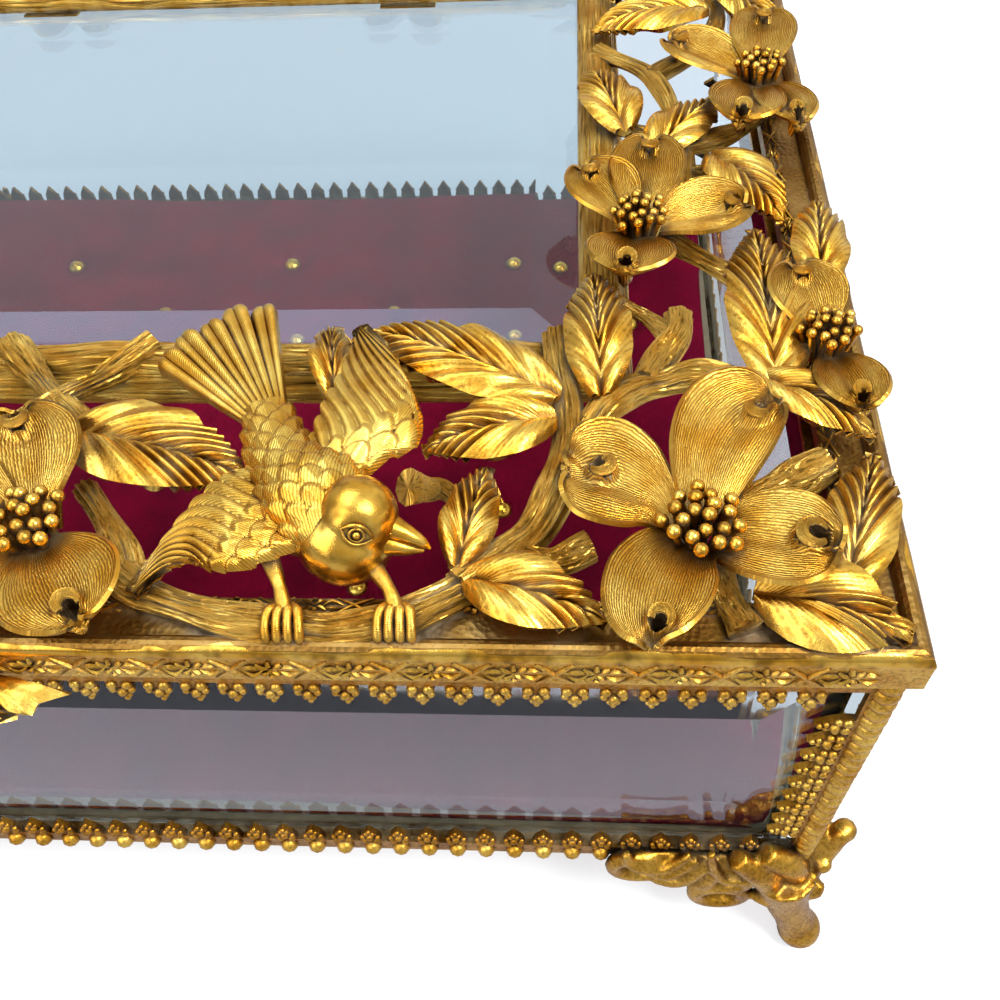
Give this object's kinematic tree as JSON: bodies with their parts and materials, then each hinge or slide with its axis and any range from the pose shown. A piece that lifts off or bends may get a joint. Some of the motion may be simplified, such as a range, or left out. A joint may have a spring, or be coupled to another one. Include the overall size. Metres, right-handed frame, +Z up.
{
  "type": "jewelry casket",
  "caption": "Rectangular jewelry casket with bevelled glass walls, scroll feet, a velvet cushion floor and a hinged lid with cast openwork of leaves, blossoms and birds.",
  "frame": {"origin": "middle of the footprint, on the surface that the four feet stand on", "axes": "+X along the long front to the right, +Y from front to back, +Z up"},
  "size_m": [0.188, 0.1504, 0.086],
  "materials": {
    "gilt_brass": "satin antique gilt, cast and stamped, with a dark wash in the recesses",
    "clear_glass": "clear, polished, with a wide bevel",
    "crimson_velvet": "short-pile velvet",
    "backing_board": "plain pressed board"
  },
  "bodies": {
    "casket": {"base_plate": "gilt_brass", "corner_post_back_left": "gilt_brass", "corner_post_back_right": "gilt_brass", "corner_post_front_left": "gilt_brass", "corner_post_front_right": "gilt_brass", "cushion": "crimson_velvet", "cushion_board": "backing_board", "cushion_studs": "gilt_brass", "foot_back_left": "gilt_brass", "foot_back_right": "gilt_brass", "foot_front_left": "gilt_brass", "foot_front_right": "gilt_brass", "gallery_bottom_back": "gilt_brass", "gallery_bottom_front": "gilt_brass", "gallery_bottom_left": "gilt_brass", "gallery_bottom_right": "gilt_brass", "gallery_top_back": "gilt_brass", "gallery_top_front": "gilt_brass", "gallery_top_left": "gilt_brass", "gallery_top_right": "gilt_brass", "glass_back": "clear_glass", "glass_front": "clear_glass", "glass_left": "clear_glass", "glass_right": "clear_glass", "hinge_casket_left": "gilt_brass", "hinge_casket_right": "gilt_brass", "hinge_pins": "gilt_brass"},
    "lid": {"bird_left": "gilt_brass", "bird_right": "gilt_brass", "blossoms_back": "gilt_brass", "blossoms_front": "gilt_brass", "blossoms_sides": "gilt_brass", "branches_back": "gilt_brass", "branches_front": "gilt_brass", "branches_sides": "gilt_brass", "glass_clips": "gilt_brass", "glass_frame_back": "gilt_brass", "glass_frame_front": "gilt_brass", "glass_frame_left": "gilt_brass", "glass_frame_right": "gilt_brass", "hinge_lid_left": "gilt_brass", "hinge_lid_right": "gilt_brass", "leaves_back": "gilt_brass", "leaves_front": "gilt_brass", "leaves_sides": "gilt_brass", "lid_band_back": "gilt_brass", "lid_band_front": "gilt_brass", "lid_band_left": "gilt_brass", "lid_band_right": "gilt_brass", "lid_glass": "clear_glass", "lid_rail_back": "gilt_brass", "lid_rail_front": "gilt_brass", "lid_rail_left": "gilt_brass", "lid_rail_right": "gilt_brass", "stamens": "gilt_brass", "thumb_tab": "gilt_brass"}
  },
  "joints": [
    {"name": "lid_hinge", "type": "hinge", "parent": "casket", "child": "lid", "pos_m": [0, 0.0714, 0.07185], "axis": [-1, 0, 0], "range_deg": [0, 100]}
  ]
}
